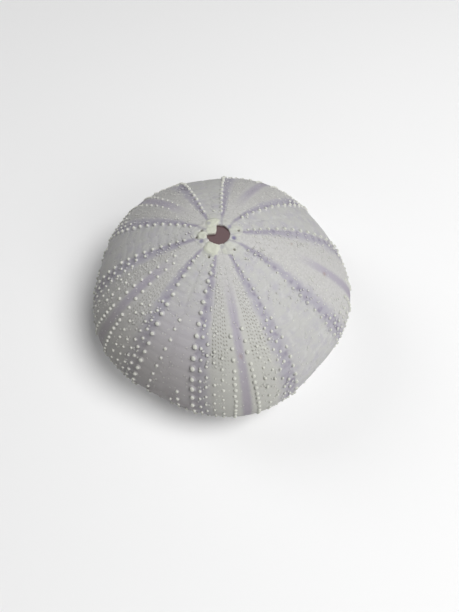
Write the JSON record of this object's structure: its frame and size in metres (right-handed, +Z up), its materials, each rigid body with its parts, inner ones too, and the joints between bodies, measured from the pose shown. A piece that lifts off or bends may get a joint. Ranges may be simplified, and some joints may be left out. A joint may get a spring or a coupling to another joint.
{
  "type": "sea urchin shell",
  "caption": "Bare, hollow test of a regular sea urchin: a low, pale violet-grey dome with rows of small white knobs, a small vent on top and a wide mouth underneath.",
  "frame": {"origin": "Middle of the footprint, on the surface that the shell stands on, under the vent.", "axes": "+Z up, from the mouth to the vent. One of the five narrow zones faces -Y."},
  "size_m": [0.091, 0.0904, 0.0515],
  "materials": {
    "calcite": "matt, dry calcite, with violet bands, greenish white pore zones and white knobs"
  },
  "bodies": {
    "root": {"shell": "calcite"}
  },
  "joints": []
}
